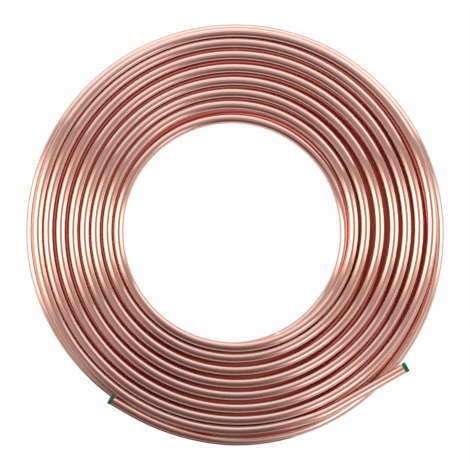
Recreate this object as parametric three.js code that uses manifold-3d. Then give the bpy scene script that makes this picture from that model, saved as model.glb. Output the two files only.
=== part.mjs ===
// Coil of soft copper tube, lying flat. The tube is wound in two flat layers, one on the other,
// so both of its ends come out at the outside, and a flanged plastic plug closes each end.
// Millimetres, +Z up. The origin is the middle of the coil's bounding box, on the floor.
import * as THREE from 'three';
import { mergeVertices } from 'three/addons/utils/BufferGeometryUtils.js';
import Module from 'manifold-3d';

// The tube: 3/8 in outside diameter, 0.032 in wall
const tubeOd = 9.525;
const tubeWall = 0.813;

// The winding: the lower layer has one turn more, and the upper turns lie over its grooves
const coilEye = 212;
const turnGap = 3.05;
const lowerTurns = 8;

// The lower end: it leaves the outermost lower turn, swings out and climbs onto its shoulder
const lowerStandoff = 5.8;
const lowerEndAngle = 234.2;
const lowerStraightAngle = 240;
const lowerDropAngle = 290;
const lowerMergeAngle = 376;
const lowerSwing = 2.2;
const lowerSwingArc = 80;

// The upper end: it eases out of the outermost upper turn and runs on straight
const upperMergeAngle = 235;
const upperStraightAngle = 300;
const upperStandoff = 6.4;
const upperStraightLength = 75.9;

// The plugs, and the gap that they keep to what they seat on
const flangeLip = 0.24;
const flangeThickness = 3.7;
const flangeEdge = 0.6;
const stemLength = 9;
const stemTaper = 1.6;
const boreDepth = 14;
const seatGap = 0.3;

// How finely round things are faceted. Halves have an even number, so that a flat faces down.
const coilFacets = 48;
const lowerHalfFacets = 4;
const upperHalfFacets = 6;
const leadFacets = 12;
const boreFacets = 24;
const plugFacets = 24;
const leadStep = 13;

const copper = { color: 0xc98f78, roughness: 0.28, metalness: 1.0 };
const greenPlastic = { color: 0x14784a, roughness: 0.45, metalness: 0.0 };

// Places that follow from the sizes above
const tubeRadius = tubeOd / 2;
const boreRadius = tubeRadius - tubeWall;
const turnPitch = tubeOd + turnGap;
const lowerHeight = tubeRadius;
const upperHeight = lowerHeight + tubeOd;
const innermostTurn = coilEye / 2 + tubeRadius;
const outermostLowerTurn = innermostTurn + (lowerTurns - 1) * turnPitch;
const outermostUpperTurn = outermostLowerTurn - turnPitch / 2;
const flangeRadius = tubeRadius + flangeLip;

const wasm = await Module();
wasm.setup();

const degrees = THREE.MathUtils.degToRad;

/** Eases from 0 to 1 as an angle goes from one angle to another. */
const ease = (angle, from, to) => THREE.MathUtils.smoothstep(angle, from, to);

/** A closed solid for joining and cutting, made from a three.js geometry. */
function solidFrom(geometry) {
  const bare = geometry.clone();
  bare.deleteAttribute('normal');
  bare.deleteAttribute('uv');
  const merged = mergeVertices(bare);
  return new wasm.Manifold(new wasm.Mesh({
    numProp: 3,
    vertProperties: new Float32Array(merged.attributes.position.array),
    triVerts: new Uint32Array(merged.index.array),
  }));
}

/** The three.js geometry of a solid. */
function geometryFrom(solid) {
  const mesh = solid.getMesh();
  const geometry = new THREE.BufferGeometry();
  geometry.setAttribute('position', new THREE.BufferAttribute(mesh.vertProperties, mesh.numProp));
  geometry.setIndex(new THREE.BufferAttribute(mesh.triVerts, 1));
  geometry.computeVertexNormals();
  return geometry;
}

/** How far the corners of a faceted round are from its centre, when its flats touch the true round. */
const cornerRadius = (halfFacets) => tubeRadius / Math.cos(Math.PI / (2 * halfFacets));

/** The corners of half a turn's section, over (side 1) or under (side -1) its centre, outermost first. */
function halfRound(turnRadius, height, halfFacets, side) {
  const reach = cornerRadius(halfFacets);
  return Array.from({ length: halfFacets }, (_, i) => {
    const angle = ((i + 0.5) * Math.PI) / halfFacets;
    return new THREE.Vector2(turnRadius + reach * Math.cos(angle), height + side * reach * Math.sin(angle));
  });
}

/** A layer's outline from its outermost turn inwards: round turns, and grooves that reach grooveEnd. */
function layerOutline(turnRadii, height, halfFacets, side, grooveEnd) {
  return turnRadii.flatMap((turnRadius, i) => {
    const into = new THREE.Vector2(turnRadius + tubeRadius, grooveEnd);
    const out = new THREE.Vector2(turnRadius - tubeRadius, grooveEnd);
    const round = halfRound(turnRadius, height, halfFacets, side);
    const isFirst = i === 0;
    const isLast = i === turnRadii.length - 1;
    return [...(isFirst ? [] : [into]), ...round, ...(isLast ? [] : [out])];
  });
}

/** The radii of a layer's turns, outermost first. */
const turnRadiiFrom = (outermost, count) => Array.from({ length: count }, (_, i) => outermost - i * turnPitch);

/** The wound turns as one turned solid: its section has a round for every turn of both layers. */
function windingSolid() {
  const lower = turnRadiiFrom(outermostLowerTurn, lowerTurns);
  const upper = turnRadiiFrom(outermostUpperTurn, lowerTurns - 1);
  const underside = layerOutline(lower, lowerHeight, lowerHalfFacets, -1, upperHeight - tubeRadius);
  const top = layerOutline(upper, upperHeight, upperHalfFacets, 1, tubeOd);
  const shoulder = halfRound(outermostLowerTurn, lowerHeight, lowerHalfFacets, 1)
    .filter((point) => point.x > outermostLowerTurn);
  const innerShoulder = halfRound(innermostTurn, lowerHeight, lowerHalfFacets, 1)
    .filter((point) => point.x < innermostTurn);
  const outerStep = new THREE.Vector2(outermostUpperTurn + tubeRadius, tubeOd);
  const innerStep = new THREE.Vector2(upper.at(-1) - tubeRadius, tubeOd);
  const profile = [...underside.reverse(), ...shoulder, outerStep, ...top, innerStep, ...innerShoulder];
  profile.push(profile[0].clone());
  return solidFrom(new THREE.LatheGeometry(profile, coilFacets).rotateX(Math.PI / 2));
}

/** A free end's centre line, round the coil's axis, from radius and height as functions of the angle. */
class LeadCurve extends THREE.Curve {
  constructor(fromAngle, toAngle, radiusAt, heightAt) {
    super();
    this.angles = [fromAngle, toAngle];
    this.radiusAt = radiusAt;
    this.heightAt = heightAt;
  }

  getPoint(t, target = new THREE.Vector3()) {
    const angle = THREE.MathUtils.lerp(...this.angles, t);
    const radius = this.radiusAt(angle);
    const turn = degrees(angle);
    return target.set(radius * Math.cos(turn), radius * Math.sin(turn), this.heightAt(angle));
  }
}

/** The radius of a straight line, at an angle, that touches the circle of a radius at another angle. */
const straightLine = (radius, touchAngle, angle) => radius / Math.cos(degrees(angle - touchAngle));

/** The lower end's centre line. Its plug's flange lies just clear of the turn that the end lies on. */
function lowerLead() {
  const flangeToTurn = flangeRadius + cornerRadius(lowerHalfFacets) + seatGap;
  const endHeight = lowerHeight + Math.sqrt(flangeToTurn ** 2 - lowerStandoff ** 2);
  const endRadius = outermostLowerTurn + lowerStandoff;
  const touchRadius = endRadius * Math.cos(degrees(lowerStraightAngle - lowerEndAngle));
  const radiusAt = (angle) => {
    if (angle < lowerStraightAngle) return straightLine(touchRadius, lowerStraightAngle, angle);
    const settled = THREE.MathUtils.lerp(
      touchRadius, outermostLowerTurn, ease(angle, lowerDropAngle, lowerMergeAngle));
    const swung = Math.min(1, (angle - lowerStraightAngle) / lowerSwingArc);
    return settled + lowerSwing * Math.sin(Math.PI * swung) ** 2;
  };
  const heightAt = (angle) => THREE.MathUtils.lerp(
    endHeight, lowerHeight, ease(angle, lowerStraightAngle, lowerDropAngle));
  return new LeadCurve(lowerMergeAngle, lowerEndAngle, radiusAt, heightAt);
}

/** The upper end's centre line. It rises just enough for its plug's flange to clear the layer below. */
function upperLead() {
  const touchRadius = outermostUpperTurn + upperStandoff;
  const endAngle = upperStraightAngle + THREE.MathUtils.radToDeg(Math.atan(upperStraightLength / touchRadius));
  const lift = flangeLip + seatGap;
  const radiusAt = (angle) => {
    if (angle > upperStraightAngle) return straightLine(touchRadius, upperStraightAngle, angle);
    return outermostUpperTurn + upperStandoff * ease(angle, upperMergeAngle, upperStraightAngle);
  };
  const heightAt = (angle) => upperHeight + lift * ease(angle, upperMergeAngle, endAngle);
  return new LeadCurve(upperMergeAngle, endAngle, radiusAt, heightAt);
}

/** The tube's round section, with a flat facing down. */
function tubeSection() {
  const corners = Array.from({ length: leadFacets }, (_, i) => {
    const angle = ((i + 0.5) * 2 * Math.PI) / leadFacets;
    return new THREE.Vector2(tubeRadius * Math.cos(angle), tubeRadius * Math.sin(angle));
  });
  return new THREE.Shape(corners);
}

/** A free end's outer form, swept along its centre line. */
function leadSolid(curve) {
  const steps = Math.ceil(curve.getLength() / leadStep);
  return solidFrom(new THREE.ExtrudeGeometry(tubeSection(), { extrudePath: curve, steps, bevelEnabled: false }));
}

/** Puts a thing made along +Y at the end of a lead, with +Y pointing out of the tube. */
function placeAtEnd(thing, curve) {
  thing.position.copy(curve.getPoint(1));
  thing.quaternion.setFromUnitVectors(new THREE.Vector3(0, 1, 0), curve.getTangent(1));
  thing.updateMatrix();
  return thing;
}

/** The tube's bore where a free end is open: it passes the end face and stops boreDepth inside. */
function boreSolid(curve) {
  const pastEnd = tubeOd;
  const bore = new THREE.CylinderGeometry(boreRadius, boreRadius, boreDepth + pastEnd, boreFacets);
  bore.translate(0, (pastEnd - boreDepth) / 2, 0);
  return solidFrom(bore.applyMatrix4(placeAtEnd(new THREE.Object3D(), curve).matrix));
}

/** The whole tube: the winding, with both free ends grown out of it and bored. */
function tubeMesh(leads) {
  const whole = leads.reduce((solid, curve) => solid.add(leadSolid(curve)), windingSolid());
  const bored = leads.reduce((solid, curve) => solid.subtract(boreSolid(curve)), whole);
  const mesh = new THREE.Mesh(geometryFrom(bored), new THREE.MeshStandardMaterial(copper));
  mesh.name = 'copper_tube';
  return mesh;
}

/** A push-in plug: a flange over the tube's end face, and a stem with a tapered tip in its bore. */
function plugMesh(name, curve) {
  const stemRadius = boreRadius - seatGap;
  const faceHeight = seatGap + flangeThickness;
  const profile = [
    [0, -stemLength],
    [stemRadius - stemTaper / 2, -stemLength],
    [stemRadius, stemTaper - stemLength],
    [stemRadius, seatGap],
    [flangeRadius - flangeEdge / 2, seatGap],
    [flangeRadius, seatGap + flangeEdge / 2],
    [flangeRadius, faceHeight - flangeEdge],
    [flangeRadius - flangeEdge, faceHeight],
    [0, faceHeight],
  ].map(([radius, along]) => new THREE.Vector2(radius, along));
  const geometry = new THREE.LatheGeometry(profile, plugFacets);
  const plug = new THREE.Mesh(geometry, new THREE.MeshStandardMaterial(greenPlastic));
  plug.name = name;
  return placeAtEnd(plug, curve);
}

/** The coil about its own axis, standing on the floor. */
function coilGroup() {
  const lower = lowerLead();
  const upper = upperLead();
  const coil = new THREE.Group();
  coil.add(tubeMesh([lower, upper]));
  coil.add(plugMesh('end_plug_lower', lower));
  coil.add(plugMesh('end_plug_upper', upper));
  return coil;
}

const coil = coilGroup();
const box = new THREE.Box3().setFromObject(coil);
const middle = box.getCenter(new THREE.Vector3());
coil.position.set(-middle.x, -middle.y, -box.min.z);

const part = new THREE.Group();
part.add(coil);
export default part;
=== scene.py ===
# %% [markdown]
# # A flat coil of soft copper tube
#
# The object is one long piece of soft copper tube, 3/8 in outside, the kind that plumbers and
# refrigeration fitters buy by the roll. It is wound flat: a lower layer from the outside inwards, a
# climb at the eye, and an upper layer from the inside outwards. So both free ends come out at the
# outside, and a green plug closes each of them.
#
# The lesson begins with the line that the tube follows and the skin that is swept along it. Then
# come the copper, the two plugs and their plastic, and at the end the floor, the lights and the
# camera.

import math

import bpy
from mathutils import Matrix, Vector


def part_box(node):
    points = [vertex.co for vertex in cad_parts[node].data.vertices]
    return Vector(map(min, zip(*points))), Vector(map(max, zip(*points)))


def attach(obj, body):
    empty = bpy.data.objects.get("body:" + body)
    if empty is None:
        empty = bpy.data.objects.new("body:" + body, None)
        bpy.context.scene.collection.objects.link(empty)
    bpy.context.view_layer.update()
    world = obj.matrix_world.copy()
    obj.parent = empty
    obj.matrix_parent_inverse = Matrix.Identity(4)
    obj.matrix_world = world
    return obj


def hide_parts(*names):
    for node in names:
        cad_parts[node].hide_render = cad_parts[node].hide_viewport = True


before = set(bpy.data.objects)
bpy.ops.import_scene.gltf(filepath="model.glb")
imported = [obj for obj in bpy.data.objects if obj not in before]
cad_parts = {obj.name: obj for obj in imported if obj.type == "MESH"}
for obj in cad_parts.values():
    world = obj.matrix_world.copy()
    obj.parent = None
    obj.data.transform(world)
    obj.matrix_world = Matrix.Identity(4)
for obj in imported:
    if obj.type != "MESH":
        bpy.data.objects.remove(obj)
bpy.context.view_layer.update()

# %% [markdown]
# ## The sizes of the tube
#
# Everything is in metres, but tube is easier to think about in millimetres, so the sizes are
# written in millimetres and multiplied once. The coil's own axis isn't the middle of the box,
# because the free ends reach further out at the front and on the right. It is one outer radius in
# from the box's left and back sides, where only the round coil reaches.

# %% Tube sizes and the coil's axis
MM = 0.001

tube_radius = 9.525 / 2 * MM
tube_wall = 0.813 * MM
bore_radius = tube_radius - tube_wall
coil_outer_radius = 203.55 * MM

low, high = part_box("copper_tube")
axis = Vector((low.x + coil_outer_radius, high.y - coil_outer_radius, 0))
lower_height = tube_radius
upper_height = lower_height + 2 * tube_radius
print("coil axis in mm:", [round(v / MM, 2) for v in axis])

# %% [markdown]
# ## The line of the winding
#
# A spiral with an even pitch would look like a drawing. A real coil is wound over a drum by hand
# or machine, and the tube springs back a little, so each turn lies a bit nearer to one side or the
# other. One way is to add noise to an even spiral, but then nothing says where the gaps fall.
# Here each turn has its own radius at four sides, the way that one would measure it with a rule
# from the centre: to the right, to the back, to the left and to the front. A smooth curve
# through those radii then makes the line.
#
# The angle runs on from turn to turn, so 360 degrees is one turn, 720 two, and so on.

# %% Radii of the turns, in millimetres
first_turn = [
    # Angle in degrees and radius, from the free end on: the tube swings out and in again
    (240, 203.45),
    (255, 204.0),
    (270, 205.6),
    (285, 205.8),
    (300, 205.1),
    (330, 202.5),
]

lower_turns = [
    # Right, back, left, front
    (200.6, 199.0, 200.6, 195.7),
    (190.4, 189.2, 189.1, 186.1),
    (180.8, 179.2, 177.8, 174.6),
    (168.9, 167.0, 165.7, 162.3),
    (156.6, 154.5, 154.0, 150.2),
    (143.6, 142.3, 142.9, 138.0),
    (129.4, 130.3, 131.6, 125.2),
    (117.8, 119.5, 120.0, 113.8),
]

upper_turns = [
    (108.1, 110.7, 114.2, 113.5),
    (116.5, 124.2, 125.2, 124.2),
    (128.1, 135.9, 136.7, 136.6),
    (142.0, 147.8, 147.5, 149.0),
    (156.0, 160.3, 158.7, 161.0),
    (168.4, 173.1, 170.9, 173.3),
    (180.4, 185.0, 183.1, 184.9),
    (193.2, 195.4, 193.4, 195.4),
]
print("rows of radii below and above:", len(lower_turns), len(upper_turns))

# %% Stations: an angle in degrees, and the radius there
quarter = 90
full_turn = 360
stations = list(first_turn)
for number, sides in enumerate(lower_turns + upper_turns):
    for side, radius in enumerate(sides):
        stations.append((full_turn * (number + 1) + quarter * side, radius))

# Some places between the four sides need stations of their own
stations += [
    # The second turn makes room for the lower free end
    (590, 198.8),
    (660, 194.4),
    (690, 192.4),
    # The tube climbs at the eye and settles into the first upper turn
    (3180, 111.2),
    (3200, 109.6),
    (3220, 108.7),
    (3255, 107.9),
    (3270, 108.3),
    (3285, 108.3),
    (3300, 108.9),
    (3360, 112.5),
    (3390, 114.0),
    (3465, 114.0),
    # The second upper turn is narrow on the right and wide behind
    (3630, 119.4),
    (3720, 125.7),
    # Each upper turn starts to widen at the front right
    (3930, 126.0),
    (4290, 139.4),
    (4650, 152.8),
    (5010, 165.3),
    (5370, 177.8),
    # The last turn ends where the upper free end leaves it
    (5785, 195.0),
    (6000, 193.9),
    (6045, 196.2),
    (6060, 198.9),
]
stations.sort()
print(len(stations), "stations over", (stations[-1][0] - stations[0][0]) / full_turn, "turns")

# %% A smooth curve through the stations
# The slope at a station is that of the line through its two neighbours. At both ends it is nil,
# so that a straight end leaves its turn without a kink
slopes = [0.0]
for before, after in zip(stations, stations[2:]):
    slopes.append((after[1] - before[1]) / (after[0] - before[0]))
slopes.append(0.0)


def radius_at(angle):
    """The radius in metres at an angle in degrees, on a cubic through the stations."""
    number = 1
    while number < len(stations) - 1 and stations[number][0] < angle:
        number += 1
    angle_before, radius_before = stations[number - 1]
    angle_after, radius_after = stations[number]
    span = angle_after - angle_before
    share = (angle - angle_before) / span
    rest = 1 - share
    start_slope = slopes[number - 1] * span
    end_slope = slopes[number] * span
    radius = radius_before * (1 + 2 * share) * rest**2 + radius_after * share**2 * (3 - 2 * share)
    radius += start_slope * share * rest**2 - end_slope * share**2 * rest
    return radius * MM


back_of_last_turn = len(lower_turns + upper_turns) * full_turn + quarter
print("radius at the back of the last turn:", round(radius_at(back_of_last_turn) / MM, 1), "mm")

# %% [markdown]
# ## Where the tube is high and where it is low
#
# Each layer is one tube high. The tube lies on the floor in the lower layer, climbs once at the
# eye and stays in the upper layer. The free end of the lower layer can't lie on the floor, because
# the next turn is in its way: the wide flange of its plug rests on that turn's shoulder, and the
# tube comes down behind it as the two part.
#
# One could give a height at every station, as with the radii. But the height only changes in two
# places, so two smooth steps are enough.

# %% Heights along the winding
first_angle = stations[0][0]
last_angle = stations[-1][0]
on_floor_angle = 290
climb_start = 3230
climb_end = 3325
lower_end_height = 13.46 * MM


def ease(value, start, end):
    """0 before start, 1 after end, and a smooth S between them."""
    share = min(max((value - start) / (end - start), 0.0), 1.0)
    return share * share * (3 - 2 * share)


def height_at(angle):
    """The height of the tube's middle at an angle in degrees."""
    settled = ease(angle, first_angle, on_floor_angle)
    climbed = ease(angle, climb_start, climb_end)
    raised = (1 - settled) * (lower_end_height - lower_height)
    return lower_height + raised + climbed * (upper_height - lower_height)


for angle in (first_angle, on_floor_angle, last_angle):
    print("height of the tube's middle at", angle, "degrees:", round(height_at(angle) / MM, 2), "mm")

# %% Points of the winding
step_degrees = 3
steps = round((last_angle - first_angle) / step_degrees)
angles = [first_angle + (last_angle - first_angle) * n / steps for n in range(steps + 1)]


def on_winding(angle):
    """The point of the winding at an angle in degrees."""
    turn = math.radians(angle)
    radius = radius_at(angle)
    return axis + Vector((radius * math.cos(turn), radius * math.sin(turn), height_at(angle)))


winding = [on_winding(angle) for angle in angles]
print("winding:", len(winding), "points")

# %% The straight ends
lower_end_angle = 234.2
lower_straight_steps = 6
upper_straight = 75.9 * MM
upper_straight_steps = 20


def heading(angle):
    """The level direction in which the tube runs at an angle, on a turn that keeps its radius."""
    turn = math.radians(angle)
    return Vector((-math.sin(turn), math.cos(turn), 0))


# The lower end runs straight on from its turn until it reaches its own angle
lower_straight = radius_at(first_angle) * math.tan(math.radians(first_angle - lower_end_angle))
lower_out = -heading(first_angle)
upper_out = heading(last_angle)
lower_end = winding[0] + lower_out * lower_straight
upper_end = winding[-1] + upper_out * upper_straight

tube_line = []
for n in range(lower_straight_steps):
    tube_line.append(lower_end.lerp(winding[0], n / lower_straight_steps))
tube_line += winding
for n in range(upper_straight_steps):
    tube_line.append(winding[-1].lerp(upper_end, (n + 1) / upper_straight_steps))
print("straight ends in mm:", round(lower_straight / MM, 1), round(upper_straight / MM, 1))

# %% Lift the upper end a little, so that it lies free over the turn below
lift_angle = 5995
upper_end_lift = 0.54 * MM

lengths = [0.0]
for here, there in zip(tube_line, tube_line[1:]):
    lengths.append(lengths[-1] + (there - here).length)
lifted_arc = radius_at(last_angle) * math.radians(last_angle - lift_angle)
lift_from = lengths[-1] - upper_straight - lifted_arc
for point, length in zip(tube_line, lengths):
    point.z += upper_end_lift * ease(length, lift_from, lengths[-1])
upper_end = tube_line[-1].copy()
print("tube length:", round(lengths[-1], 2), "m in", len(tube_line), "points")
print("lower end in mm from the axis:", [round(v / MM, 2) for v in lower_end - axis])
print("upper end in mm from the axis:", [round(v / MM, 2) for v in upper_end - axis])

# %% [markdown]
# ## The skin of the tube
#
# Blender can bevel a curve into a tube, which is quick. But a bevelled curve has no wall and no
# bore at its ends, and its texture can't be measured in millimetres. So the skin is built ring by
# ring: each ring is a circle square to the line. At the ends a few more rings turn in over
# the cut edge and run back inside, which gives the wall its real thickness.

# %% Rings for the cut ends
edge_break = 0.12 * MM
bore_depth = 14 * MM

end_profile = [
    # How far inside the end, and the radius there
    (bore_depth, bore_radius),
    (edge_break, bore_radius),
    (0.0, bore_radius + edge_break),
    (0.0, tube_radius - edge_break),
    (edge_break, tube_radius),
]


def end_rings(end, out):
    """Rings as (middle, radius) from deep in the bore, round the cut edge and onto the outside."""
    return [(end - out * inside, radius) for inside, radius in end_profile]


rings = end_rings(lower_end, lower_out)
rings += [(point, tube_radius) for point in tube_line[1:-1]]
rings += list(reversed(end_rings(upper_end, upper_out)))
print(len(rings), "rings")

# %% The points of a ring
tube_sides = 32
# Each ring starts at its lowest point, so the seam of the maps faces the floor
seam_angle = -90


def ring_turn(n):
    """The angle in radians of a ring's point, 0 outwards and a quarter turn at the crown."""
    return math.radians(seam_angle) + 2 * math.pi * n / tube_sides


def ring_directions(number):
    """The level and the upright direction of a ring: both are square to the tube's line."""
    last = len(tube_line) - 1
    at = min(max(number - len(end_profile) + 1, 0), last)
    along = tube_line[min(at + 1, last)] - tube_line[max(at - 1, 0)]
    side = Vector((along.y, -along.x, 0)).normalized()
    return side, side.cross(along).normalized()


def ring_points(number):
    """The points of one ring."""
    centre, radius = rings[number]
    side, up = ring_directions(number)
    turns = [ring_turn(n) for n in range(tube_sides)]
    return [centre + radius * (math.cos(turn) * side + math.sin(turn) * up) for turn in turns]


print("points on all the rings:", len(rings) * tube_sides)


# %% Sweep the rings into a mesh
def swept_mesh(name):
    """The closed skin over all the rings, with faces that point out."""
    points = []
    for number in range(len(rings)):
        points += ring_points(number)
    faces = []
    for number in range(len(rings) - 1):
        here = number * tube_sides
        there = here + tube_sides
        for n in range(tube_sides):
            after = (n + 1) % tube_sides
            faces.append((here + n, there + n, there + after, here + after))
    last = (len(rings) - 1) * tube_sides
    faces.append(tuple(range(tube_sides)))
    faces.append(tuple(last + n for n in reversed(range(tube_sides))))
    mesh = bpy.data.meshes.new(name)
    mesh.from_pydata(points, [], faces)
    return mesh


tube_mesh = swept_mesh("copper_tube_skin")
print("tube faces:", len(tube_mesh.polygons))

# %% [markdown]
# ## Two maps for the skin
#
# Draw marks on a tube run along it, however it is bent. A pattern in plain space would cut
# across the turns, so the skin gets a map that counts metres along the tube and round it.
# A second map lays the same skin out in side-by-side strips, for baking it to an image.

# %% Measure along and round every face
travelled = [0.0]
for (here, radius_here), (there, radius_there) in zip(rings, rings[1:]):
    travelled.append(travelled[-1] + math.hypot((there - here).length, radius_there - radius_here))

strip_count = 14
strip_gap = 0.004
rings_per_strip = math.ceil((len(rings) - 1) / strip_count)


def add_maps(mesh):
    """Wrap: metres round and along the tube. OFBake: the same faces in strips on one square."""
    wrap_map = mesh.uv_layers.new(name="Wrap")
    strip_map = mesh.uv_layers.new(name="OFBake")
    # The last two faces close the bores deep inside and stay off the maps
    for face in mesh.polygons[:-2]:
        number, n = divmod(face.index, tube_sides)
        strip = number // rings_per_strip
        first = travelled[strip * rings_per_strip]
        last = travelled[min((strip + 1) * rings_per_strip, len(rings) - 1)]
        corners = ((n, number), (n, number + 1), (n + 1, number + 1), (n + 1, number))
        for loop, (column, row) in zip(face.loop_indices, corners):
            around = column / tube_sides
            along = (travelled[row] - first) / (last - first)
            wrap_map.data[loop].uv = (around * 2 * math.pi * tube_radius, travelled[row])
            strip_map.data[loop].uv = (
                (strip + strip_gap + around * (1 - 2 * strip_gap * strip_count)) / strip_count,
                strip_gap + along * (1 - 2 * strip_gap),
            )


add_maps(tube_mesh)
print("bake strips:", strip_count, "of", rings_per_strip, "rings")

# %% Make the tube a piece
# An edge that is bent by more degrees than this stays sharp
tube_sharp_from = 30
tube_mesh.polygons.foreach_set("use_smooth", [True] * len(tube_mesh.polygons))
tube_mesh.set_sharp_from_angle(angle=math.radians(tube_sharp_from))
tube = bpy.data.objects.new("copper_tube_skin", tube_mesh)
bpy.context.scene.collection.objects.link(tube)
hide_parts("copper_tube")
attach(tube, "root")
print("piece:", tube.name)

# %% [markdown]
# ## Where the turns crowd together
#
# Light that gets in between two turns bounces from copper to copper before it comes out, and each
# bounce makes it redder and darker. A renderer stops after a few bounces, so the grooves would
# come out brown and flat. One could raise the number of bounces, but a model in a library
# should look right with any renderer. So the skin itself keeps a note of where it faces a
# neighbour: an attribute that is 0 in the open and 1 deep in a groove. The copper uses it to
# paint in the light and shade of the missing bounces: painted light on the flanks and painted
# shade deep in the grooves.

# %% Look for the neighbours of each point of the winding
points_in_a_turn = round(full_turn / step_degrees)
radii = [radius_at(angle) for angle in angles]
layers = [(height_at(angle) - lower_height) / (upper_height - lower_height) for angle in angles]

# Turns crowd fully when their middles are this near, and not at all when they are this far apart
crowded_apart = 14.5 * MM
open_apart = 19 * MM
# A neighbour is beside a turn up to the first share of a layer, and overhead from the second on
beside_share = 0.4
overhead_share = 0.8
# A turn overhead that is off to one side by less than this covers both flanks
astride = 2 * MM


def crowding(n):
    """How near the next turns are to a point: inwards, outwards, and overhead on both sides."""
    inwards = outwards = over_in = over_out = 0.0
    for other in range(n % points_in_a_turn, len(winding), points_in_a_turn):
        if other == n:
            continue
        apart = radii[other] - radii[n]
        higher = layers[other] - layers[n]
        near = 1 - ease(abs(apart), crowded_apart, open_apart)
        beside = 1 - ease(abs(higher), beside_share, overhead_share)
        over = ease(higher, beside_share, overhead_share)
        if apart > 0:
            outwards = max(outwards, near * beside)
        else:
            inwards = max(inwards, near * beside)
        if apart > -astride:
            over_out = max(over_out, near * over)
        if apart < astride:
            over_in = max(over_in, near * over)
    return inwards, outwards, over_in, over_out


crowded = [crowding(n) for n in range(len(winding))]
print("crowding a third of the way in:", [round(v, 2) for v in crowded[len(crowded) // 3]])

# %% Write it on the skin
# Beside a neighbour the note rises between these two, in degrees from the tube's crown
ramp_from = 35
ramp_to = 100
# A turn overhead at one side covers the skin on that side. Over the middle of the tube its cover
# fades, between these two shares of the radius
lean_from = -0.1
lean_to = 0.45
# Under turns on both sides the note is at least the crown's level, and under one a little less
crown_level = 0.7
one_sided = 0.9

# The rings of both ends and of the lower straight come before the winding's own
before_winding = len(end_profile) - 1 + lower_straight_steps


def crowded_at(at, n):
    """The note for one point of the skin: its place on the winding, and its number on the ring."""
    inwards, outwards, over_in, over_out = crowded[at]
    turn = ring_turn(n)
    from_crown = math.degrees(math.acos(max(-1, min(1, math.sin(turn)))))
    depth = min(max((from_crown - ramp_from) / (ramp_to - ramp_from), 0), 1)
    beside = outwards if math.cos(turn) > 0 else inwards
    leaning_in = 1 - ease(math.cos(turn), lean_from, lean_to)
    leaning_out = 1 - ease(-math.cos(turn), lean_from, lean_to)
    from_one_side = max(over_in * leaning_in, over_out * leaning_out) * one_sided
    overhead = max(min(over_in, over_out), from_one_side)
    return max(beside * depth, overhead * crown_level)


note = tube_mesh.attributes.new("crowded", "FLOAT", "POINT")
for index in range(len(tube_mesh.vertices)):
    number, n = divmod(index, tube_sides)
    at = number - before_winding
    if 0 <= at < len(winding):
        note.data[index].value = crowded_at(at, n)
hidden_share = sum(point.value > 0.5 for point in note.data) / len(note.data)
print("share of the skin between or under other turns:", round(hidden_share, 2))

# %% [markdown]
# ## Bright drawn copper
#
# Copper that has just been drawn is a mirror with a grain: the die leaves fine lines along the
# tube, which blur a reflection across the tube and keep it sharp along it. A single colour with one
# roughness would look like plastic wrap. Here stretched noise on the wrap map makes the draw
# lines, in the bump and in the roughness, and a slow noise in space warms and dulls the metal a
# little in soft patches, as air and hands do.
#
# The note about crowding does the rest. On the flanks that face a neighbour the metal is painted
# paler, as painted light, and is a little hazier, so that two or three bounces still bring light
# back. Deep in a groove it is painted a dark copper red, as painted shade.

# %% Helpers for node materials
def new_material(name):
    """A material, the node tree that feeds it, and its Principled shader."""
    material = bpy.data.materials.new(name)
    material.use_nodes = True
    shader = material.node_tree.nodes["Principled BSDF"]
    return material, material.node_tree, shader


def add_node(tree, kind, inputs=None, **settings):
    """Adds a node, sets its options, and fills its inputs with values or with other sockets."""
    node = tree.nodes.new(kind)
    for name, value in settings.items():
        setattr(node, name, value)
    for name, value in (inputs or {}).items():
        if isinstance(value, bpy.types.NodeSocket):
            tree.links.new(value, node.inputs[name])
        else:
            node.inputs[name].default_value = value
    return node


def calculate(tree, operation, *values):
    """The result of a Math node on one or two values."""
    node = add_node(tree, "ShaderNodeMath", dict(enumerate(values)), operation=operation)
    return node.outputs["Value"]


def remap(tree, value, low_in, high_in, low_out, high_out):
    """Turns one range of a value into another, smoothly, and holds it there."""
    ranges = {"From Min": low_in, "From Max": high_in, "To Min": low_out, "To Max": high_out}
    inputs = {"Value": value, **ranges}
    node = add_node(tree, "ShaderNodeMapRange", inputs, interpolation_type="SMOOTHSTEP")
    return node.outputs["Result"]


def tint(tree, factor, first, second):
    """A colour that goes from the first to the second as the factor goes from 0 to 1."""
    node = add_node(tree, "ShaderNodeMix", {"Factor": factor}, data_type="RGBA")
    # A Mix node has sockets for each type of data: inputs 6 and 7 and output 2 are its colours
    for socket, colour in ((node.inputs[6], first), (node.inputs[7], second)):
        if isinstance(colour, bpy.types.NodeSocket):
            tree.links.new(colour, socket)
        else:
            socket.default_value = (*colour, 1)
    return node.outputs[2]


def noise(tree, vector, scale, detail, distortion=0.0):
    """Soft noise from 0 to 1. The scale is the number of grains to one unit of the vector."""
    inputs = {"Vector": vector, "Scale": scale, "Detail": detail, "Distortion": distortion}
    return add_node(tree, "ShaderNodeTexNoise", inputs).outputs["Fac"]


def bump(tree, height, strength, distance):
    """The normal of a skin that rises with the height, by up to the distance in metres."""
    inputs = {"Height": height, "Strength": strength, "Distance": distance}
    return add_node(tree, "ShaderNodeBump", inputs).outputs["Normal"]


def object_place(tree):
    """Where a point is, in the metres of its own object."""
    return add_node(tree, "ShaderNodeTexCoord").outputs["Object"]


# %% The copper's patterns: draw lines along the tube, patches and specks
copper, tree, shader = new_material("bright_drawn_copper")
wrap = add_node(tree, "ShaderNodeUVMap", uv_map="Wrap").outputs["UV"]
place = object_place(tree)
patch_scale = 26
speck_scale = 420


def draw_lines(lines_per_mm, length_mm, detail):
    """Noise that is fine round the tube and long along it."""
    scale = (lines_per_mm / MM, 1 / (length_mm * MM), 1)
    mapping = add_node(tree, "ShaderNodeMapping", {"Vector": wrap, "Scale": scale})
    return noise(tree, mapping.outputs["Vector"], 1, detail)


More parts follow.
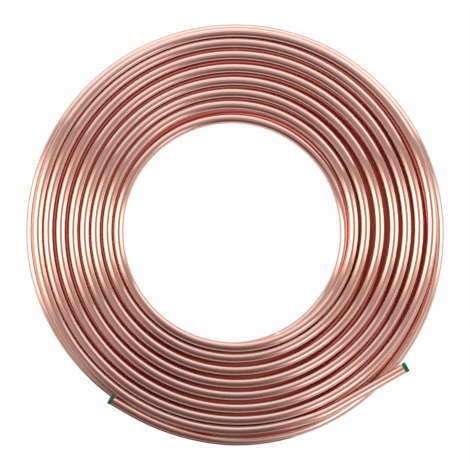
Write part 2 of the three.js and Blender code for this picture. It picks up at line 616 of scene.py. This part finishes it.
fine_lines = draw_lines(lines_per_mm=2.4, length_mm=120, detail=3)
broad_lines = draw_lines(lines_per_mm=0.5, length_mm=300, detail=2)
patches = noise(tree, place, patch_scale, 4)
specks = noise(tree, place, speck_scale, 3)
print("patches about", round(1 / patch_scale / MM), "mm across")

# %% The copper's colour
fresh_copper = (0.95, 0.64, 0.565)
warm_copper = (0.92, 0.58, 0.49)
dull_copper = (0.85, 0.55, 0.48)
# Painted light for the flanks that face a neighbour, and painted shade for deep in a groove
painted_flank_light = (1.0, 0.84, 0.77)
painted_groove_shade = (0.88, 0.135, 0.06)
warm_share = 0.55
dull_line_share = 0.35
speck_share = 0.3
deep_metallic = 0.7

colour = tint(tree, remap(tree, patches, 0.42, 0.72, 0, warm_share), fresh_copper, warm_copper)
colour = tint(tree, remap(tree, broad_lines, 0.5, 0.75, 0, dull_line_share), colour, dull_copper)
colour = tint(tree, remap(tree, specks, 0.66, 0.8, 0, speck_share), colour, dull_copper)
between_turns = add_node(tree, "ShaderNodeAttribute", attribute_name="crowded").outputs["Fac"]
# The crowding note paints the flanks paler, as painted light, and deep in a groove a dark copper red
# with less metal, as painted shade
colour = tint(tree, remap(tree, between_turns, 0, 0.15, 0, 1), colour, painted_flank_light)
deep = remap(tree, between_turns, 0.45, 0.95, 0, 1)
colour = tint(tree, deep, colour, painted_groove_shade)
tree.links.new(colour, shader.inputs["Base Color"])
tree.links.new(remap(tree, deep, 0, 1, 1, deep_metallic), shader.inputs["Metallic"])
shader.inputs["Specular IOR Level"].default_value = 0
print("copper, fresh to dull:", fresh_copper, warm_copper, dull_copper)

# %% The copper's gloss and grain
smoothest_line = 0.08
roughest_line = 0.15
patch_haze = 0.05
flank_haze = 0.1
line_depth = 0.004 * MM

line_roughness = remap(tree, fine_lines, 0.3, 0.7, smoothest_line, roughest_line)
patch_roughness = remap(tree, patches, 0.4, 0.75, 0, patch_haze)
flank_roughness = remap(tree, between_turns, 0, 0.9, 0, flank_haze)
roughness = calculate(tree, "ADD", line_roughness, patch_roughness)
roughness = calculate(tree, "ADD", roughness, flank_roughness)
tree.links.new(roughness, shader.inputs["Roughness"])
tree.links.new(bump(tree, fine_lines, 1, line_depth), shader.inputs["Normal"])
tube_mesh.materials.append(copper)
print("copper nodes:", len(tree.nodes))

# %% [markdown]
# ## The plugs
#
# A plug keeps dirt and damp out of the bore until the tube is used. It is a small moulded
# piece: a flange that covers the cut edge, and a stem with two soft sealing rings that push into
# the bore. One could stack cylinders, but their edges would be sharp and their joints would show.
# A plug is round, so the quickest way is to turn it, like on a lathe: draw half of its outline
# once and spin that about the tube's axis.

# %% The sizes of a plug
flange_gap = 0.3 * MM
flange_radius = tube_radius + 0.24 * MM
flange_thickness = 3.7 * MM
flange_round = 0.6 * MM
flange_face = flange_gap + flange_thickness
stem_radius = 3.65 * MM
stem_length = 9 * MM
stem_nose = 1.6 * MM
nose_radius = 0.6 * stem_radius
seal_radius = 3.86 * MM
seal_half_width = 0.4 * MM
seal_places = (-5.6 * MM, -3.2 * MM)
dish_radius = 3.2 * MM
dish_depth = 0.35 * MM
gate_radius = 0.55 * MM
gate_top_radius = 0.7 * gate_radius
gate_sunk = 0.1 * MM
print("plug length in mm:", round((stem_length + flange_face) / MM, 1))


# %% The outline of a plug
def rounded(along, radius, turn_from, turn_to, size, count=5):
    """Points of a round edge with its middle at (along, radius), between two angles in degrees."""
    points = []
    for n in range(count):
        turn = math.radians(turn_from + (turn_to - turn_from) * n / (count - 1))
        points.append((along + size * math.cos(turn), radius + size * math.sin(turn)))
    return points


# Along the axis, 0 is the cut end of the tube and plus is outwards
outline = [
    (-stem_length, 0.0),
    (-stem_length, nose_radius),
    (-stem_length + stem_nose, stem_radius),
]
for seal in seal_places:
    outline.append((seal - seal_half_width, stem_radius))
    outline.append((seal, seal_radius))
    outline.append((seal + seal_half_width, stem_radius))
outline.append((flange_gap, stem_radius))
round_middle = flange_radius - flange_round
outline += rounded(flange_gap + flange_round, round_middle, 180, 90, flange_round)
outline += rounded(flange_face - flange_round, round_middle, 90, 0, flange_round)
# The face is dished, and the stub of the mould's gate stands in the middle of the dish
outline += [
    (flange_face, dish_radius + dish_depth),
    (flange_face - dish_depth, dish_radius),
    (flange_face - dish_depth, gate_radius),
    (flange_face - gate_sunk, gate_top_radius),
    (flange_face - gate_sunk, 0.0),
]
print("plug outline:", len(outline), "points")

# %% Turn an outline
plug_sides = 48
# An edge that is bent by more degrees than this stays sharp
plug_sharp_from = 32


def turned_piece(name, end, out):
    """Spins the outline about a tube's axis. The first and the last point lie on the axis."""
    side = Vector((out.y, -out.x, 0)).normalized()
    up = out.cross(side)
    points = [end + out * outline[0][0]]
    for along, radius in outline[1:-1]:
        for n in range(plug_sides):
            turn = 2 * math.pi * n / plug_sides
            spoke = math.cos(turn) * side + math.sin(turn) * up
            points.append(end + out * along + radius * spoke)
    points.append(end + out * outline[-1][0])
    rows = len(outline) - 2
    faces = []
    for n in range(plug_sides):
        after = (n + 1) % plug_sides
        faces.append((0, 1 + after, 1 + n))
        for row in range(rows - 1):
            here = 1 + row * plug_sides
            there = here + plug_sides
            faces.append((here + n, here + after, there + after, there + n))
        last = 1 + (rows - 1) * plug_sides
        faces.append((last + n, last + after, len(points) - 1))
    mesh = bpy.data.meshes.new(name)
    mesh.from_pydata(points, [], faces)
    mesh.polygons.foreach_set("use_smooth", [True] * len(faces))
    mesh.set_sharp_from_angle(angle=math.radians(plug_sharp_from))
    piece = bpy.data.objects.new(name, mesh)
    bpy.context.scene.collection.objects.link(piece)
    return piece


# %% Both plugs
plugs = []
for which, end, out in (("lower", lower_end, lower_out), ("upper", upper_end, upper_out)):
    plug = turned_piece("end_plug_" + which + "_moulded", end, out)
    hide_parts("end_plug_" + which)
    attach(plug, "root")
    # The turns next to a plug would mirror it as dark spots
    plug.visible_glossy = False
    plugs.append(plug)
print("plug faces:", [len(plug.data.polygons) for plug in plugs])

# %% [markdown]
# ## Green polyethylene
#
# The plugs are soft waxy plastic, dyed right through. The skin of a moulding is never quite even:
# it has a faint orange peel from the mould and swirls where the melt met. One flat green would
# pass from afar, but not close up. Both marks are small, so they go into the roughness, the bump
# and a slight drift of the green.

# %% The plastic
plastic, tree, shader = new_material("green_polyethylene")
deep_green = (0.004, 0.115, 0.042)
clear_green = (0.009, 0.225, 0.085)
swirl_scale = 240
peel_scale = 2600
peel_depth = 0.01 * MM
smoothest_peel = 0.34
roughest_peel = 0.48

place = object_place(tree)
swirls = noise(tree, place, swirl_scale, 3, distortion=1.5)
peel = noise(tree, place, peel_scale, 2)
green = tint(tree, remap(tree, swirls, 0.3, 0.7, 0, 1), deep_green, clear_green)
tree.links.new(green, shader.inputs["Base Color"])
tree.links.new(remap(tree, peel, 0.3, 0.7, smoothest_peel, roughest_peel), shader.inputs["Roughness"])
shader.inputs["Specular IOR Level"].default_value = 0.3
tree.links.new(bump(tree, peel, 0.5, peel_depth), shader.inputs["Normal"])
for plug in plugs:
    plug.data.materials.append(plastic)
print("plastic nodes:", len(tree.nodes))

# %% [markdown]
# ## The floor
#
# The coil lies on a white floor. A matt white floor alone would come out grey, because the room
# round it is dim. More light would whiten it, but would bleach the coil as well. So the floor also
# glows, in full for the rays that come straight from the camera and about a third as much for those
# that come off the metal. The rest is real light on matt paint, which keeps the coil's shadow.
#
# Under the coil itself the floor is painted copper red and glows faintly in that red: painted
# bounce light, because all the light that gets down there has bounced off copper on its way.

# %% Where the floor is open and where the coil covers it
floor_size = 16
bpy.ops.mesh.primitive_plane_add(size=floor_size, location=(axis.x, axis.y, 0))
floor = bpy.context.object
floor.name = "studio_floor"
white, tree, shader = new_material("white_floor")

# Metres from the coil's axis between which one kind of floor passes into the other
eye_edge = (0.1105, 0.1125)
outer_edge = (0.2015, 0.2035)

place = object_place(tree)
from_axis = add_node(tree, "ShaderNodeVectorMath", {0: place}, operation="LENGTH").outputs["Value"]
in_eye = remap(tree, from_axis, *eye_edge, 1, 0)
outside = remap(tree, from_axis, *outer_edge, 0, 1)
open_floor = calculate(tree, "MAXIMUM", in_eye, outside)
print("the coil covers the floor from", round(eye_edge[1] / MM), "to", round(outer_edge[0] / MM), "mm")

# %% The floor's paint and glow
white_paint = (0.75, 0.75, 0.75)
paper_white = (1, 1, 1)
# Painted bounce light: the floor under the coil and its glow take this copper red
painted_copper_bounce = (0.66, 0.14, 0.085)
open_glow = 0.975
covered_glow = 0.18
metal_share = 0.32

shader.inputs["Roughness"].default_value = 0.9
tree.links.new(tint(tree, open_floor, painted_copper_bounce, white_paint), shader.inputs["Base Color"])
glow_colour = tint(tree, open_floor, painted_copper_bounce, paper_white)
glow = add_node(tree, "ShaderNodeEmission", {"Color": glow_colour, "Strength": 1})

# Rays from the camera and through clear things meet the glow in full, rays off metal a part of it
rays = add_node(tree, "ShaderNodeLightPath").outputs
in_metal = calculate(tree, "MULTIPLY", rays["Is Glossy Ray"], metal_share)
seen = calculate(tree, "MAXIMUM", rays["Is Camera Ray"], in_metal)
seen = calculate(tree, "MAXIMUM", seen, rays["Is Transmission Ray"])
# Under the coil only a faint share of the painted bounce red glows
glow_share = remap(tree, open_floor, 0, 1, covered_glow, open_glow)
glow_share = calculate(tree, "MULTIPLY", seen, glow_share)

both = add_node(tree, "ShaderNodeMixShader", {0: glow_share})
tree.links.new(shader.outputs[0], both.inputs[1])
tree.links.new(glow.outputs[0], both.inputs[2])
tree.links.new(both.outputs[0], tree.nodes["Material Output"].inputs["Surface"])
floor.data.materials.append(white)
print("floor nodes:", len(tree.nodes))

# %% [markdown]
# ## The light
#
# Metal has no colour of its own to show: it shows the room. So the room is the most important
# part of the picture. Lamps alone would leave most of the copper black. What stands far away, a
# bright softbox to the left and to the right and the dim room between them, is painted onto the
# sky instead, which looks the same from every turn.

# %% Helpers for lights that hang at a bearing
def turned_to(tree, vector, bearing):
    """The vector as seen by someone who faces a bearing in degrees: X is then straight ahead."""
    inputs = {"Vector": vector, "Angle": math.radians(-bearing)}
    node = add_node(tree, "ShaderNodeVectorRotate", inputs, rotation_type="Z_AXIS")
    return node.outputs["Vector"]


def bearing_of(tree, vector):
    """The bearing of a vector in radians, 0 along X."""
    parts = add_node(tree, "ShaderNodeSeparateXYZ", {"Vector": vector}).outputs
    return calculate(tree, "ARCTAN2", parts["Y"], parts["X"])


def between(tree, value, low, high, soft):
    """1 between two angles in degrees and 0 outside them, with soft edges."""
    low, high, soft = (math.radians(angle) for angle in (low, high, soft))
    rise = remap(tree, value, low - soft, low + soft, 0, 1)
    fall = remap(tree, value, high - soft, high + soft, 1, 0)
    return calculate(tree, "MULTIPLY", rise, fall)


# %% The sky as a light tent
world = bpy.data.worlds.new("light_tent")
bpy.context.scene.world = world
world.use_nodes = True
tree = world.node_tree
sky = tree.nodes["Background"]
direction = add_node(tree, "ShaderNodeTexCoord").outputs["Generated"]
upward = add_node(tree, "ShaderNodeSeparateXYZ", {"Vector": direction}).outputs["Z"]
from_overhead = calculate(tree, "ARCCOSINE", upward)


def light_panel(tree, bearing, half_width, top, bottom, side_soft, end_soft):
    """Where a panel hangs: its bearing from X, and its top and bottom as angles from overhead."""
    ahead = bearing_of(tree, turned_to(tree, direction, bearing))
    width = between(tree, ahead, -half_width, half_width, side_soft)
    drop = between(tree, from_overhead, top, bottom, end_soft)
    return calculate(tree, "MULTIPLY", width, drop)


dim_room = (0.45, 0.335, 0.31)
panel_white = (2.0, 1.85, 1.72)
panels = [
    # In degrees: bearing, half width, top, bottom, softness of the sides and of the ends
    (0, 12, 32, 100, 8, 8),
    (180, 18.5, 19, 100, 8, 8),
]
sky_colour = dim_room
for panel in panels:
    sky_colour = tint(tree, light_panel(tree, *panel), sky_colour, panel_white)
tree.links.new(sky_colour, sky.inputs["Color"])
sky.inputs["Strength"].default_value = 1
print("sky nodes:", len(tree.nodes))

# %% [markdown]
# ## A near wall, a flag and a card
#
# Three things are close to the coil. A white wall stands behind it. Over its front hangs a flag,
# the dark board that keeps glare off a shiny object, with a strip lamp and a soft pale glow beside
# it. And a black card lies on the floor at its front left and reaches a little way under it. The
# card draws a dark line along the rim there, so that the metal stands out from the white. That
# line is painted shade: the rim mirrors the dark sheet in place of shade on the floor beside it.
#
# Close things look different from each side of the coil, which a sky can't do, so they are real
# boards. The camera doesn't see them, but the metal does.

# %% Helpers for the boards round the coil
def studio_board(name, corners):
    """A flat board that shows in the metal but not to the camera. Returns it with its node tree."""
    mesh = bpy.data.meshes.new(name)
    mesh.from_pydata([axis + Vector(corner) for corner in corners], [], [(0, 1, 2, 3)])
    board = bpy.data.objects.new(name, mesh)
    bpy.context.scene.collection.objects.link(board)
    board.visible_camera = False
    finish, tree, _ = new_material(name)
    mesh.materials.append(finish)
    return board, tree


def level_corners(left, right, front, back, height):
    """The corners of a level board, in metres from the foot of the coil's axis."""
    return [
        (left, front, height),
        (right, front, height),
        (right, back, height),
        (left, back, height),
    ]


def glow_only(tree, colour, strength=1.0, cover=None):
    """Makes a board shine in a colour. Where its cover is 0 the board is clear."""
    light = add_node(tree, "ShaderNodeEmission", {"Color": colour, "Strength": strength})
    surface = light.outputs[0]
    if cover is not None:
        clear = add_node(tree, "ShaderNodeBsdfTransparent")
        mixed = add_node(tree, "ShaderNodeMixShader", {0: cover})
        tree.links.new(clear.outputs[0], mixed.inputs[1])
        tree.links.new(surface, mixed.inputs[2])
        surface = mixed.outputs[0]
    tree.links.new(surface, tree.nodes["Material Output"].inputs["Surface"])


# %% The wall behind, brighter to the right and at its foot
wall_back = 0.56
wall_height = 1.0
wall_left = -0.86
wall_right = 1.07
wall_white = (0.88, 0.89, 0.89)
wall_bright = (1.15, 1.15, 1.13)
wall_foot_light = 2.1
# Metres to the right and above the floor over which the wall's light changes
wall_turns_bright = (0.1, 0.7)
wall_foot = (-0.05, 0.3)

wall_corners = [
    (wall_left, wall_back, 0),
    (wall_right, wall_back, 0),
    (wall_right, wall_back, wall_height),
    (wall_left, wall_back, wall_height),
]
wall, tree = studio_board("back_wall", wall_corners)
on_wall = add_node(tree, "ShaderNodeSeparateXYZ", {"Vector": object_place(tree)}).outputs
to_the_right = remap(tree, on_wall["X"], *wall_turns_bright, 0, 1)
wall_colour = tint(tree, to_the_right, wall_white, wall_bright)
wall_light = remap(tree, on_wall["Z"], *wall_foot, wall_foot_light, 1)
glow_only(tree, wall_colour, strength=wall_light)
print("wall:", round(wall_right - wall_left, 2), "by", wall_height, "m")

# %% The black card, just over the floor: painted shade for the front rim to mirror
card_height = 0.5 * MM
# Painted shade: the front rim mirrors this dark sheet in place of the floor beside it
rim_shade_black = (0.11, 0.07, 0.06, 1)
card_corners = level_corners(left=-0.45, right=0.06, front=-0.75, back=-0.15, height=card_height)
card, tree = studio_board("rim_shade_card", card_corners)
card.visible_shadow = False
card.visible_diffuse = False
glow_only(tree, rim_shade_black)
print("board:", card.name)

# %% The flag over the front, clear where nothing hangs
flag_height = 0.6
flag_reach = 3.4
flag_dark = (0.13, 0.08, 0.083)
strip_white = (1.5, 1.45, 1.4)
glow_pale = (0.85, 0.74, 0.68)
flag_corners = level_corners(-flag_reach, flag_reach, -flag_reach, flag_reach, flag_height)
flag, tree = studio_board("front_flag", flag_corners)
flag.visible_shadow = False
flag.visible_diffuse = False
place = object_place(tree)


def sector(tree, bearing, half_width, side_soft, start, end, apex_back=0):
    """A wedge of the board. It starts and ends over two stretches, in metres from its apex."""
    apex = axis + Vector((0, apex_back, flag_height))
    from_apex = add_node(tree, "ShaderNodeVectorMath", {0: place, 1: apex}, operation="SUBTRACT")
    turned = turned_to(tree, from_apex.outputs["Vector"], bearing)
    width = between(tree, bearing_of(tree, turned), -half_width, half_width, side_soft)
    reach = add_node(tree, "ShaderNodeVectorMath", {0: turned}, operation="LENGTH").outputs["Value"]
    rise = remap(tree, reach, *start, 0, 1)
    fall = remap(tree, reach, *end, 1, 0)
    return calculate(tree, "MULTIPLY", width, calculate(tree, "MULTIPLY", rise, fall))


dark = sector(
    tree, bearing=258, half_width=25, side_soft=7, start=(-0.15, 0.55), end=(1.1, 3.2), apex_back=0.1
)
strip = sector(tree, bearing=301, half_width=10.5, side_soft=4, start=(0.2, 0.36), end=(0.9, 1.5))
pale = sector(tree, bearing=324, half_width=20, side_soft=9, start=(0.3, 0.7), end=(1.3, 2.5))
lit = calculate(tree, "MAXIMUM", strip, pale)
cover = calculate(tree, "MAXIMUM", dark, lit)
board_colour = tint(tree, pale, flag_dark, glow_pale)
board_colour = tint(tree, strip, board_colour, strip_white)
glow_only(tree, board_colour, cover=cover)
print("boards:", wall.name, card.name, flag.name)

# %% [markdown]
# ## The camera
#
# The view is straight down. A short lens close by would look at the outer turns at a slant and
# hide the gaps between them. A long lens from high up keeps those gaps open, because it looks at
# every turn from nearly the same direction.

# %% Camera straight above
picture_width = 460.6 * MM
picture_offset = Vector((0, -3.45 * MM, 0))
camera_height = 2.5
camera_data = bpy.data.cameras.new("top_camera")
camera_data.lens = camera_data.sensor_width * (camera_height - upper_height) / picture_width
camera = bpy.data.objects.new("top_camera", camera_data)
camera.location = axis + picture_offset + Vector((0, 0, camera_height))
bpy.context.scene.collection.objects.link(camera)
bpy.context.scene.camera = camera
bpy.context.scene.view_settings.view_transform = "Standard"
print("lens:", round(camera_data.lens, 1), "mm")
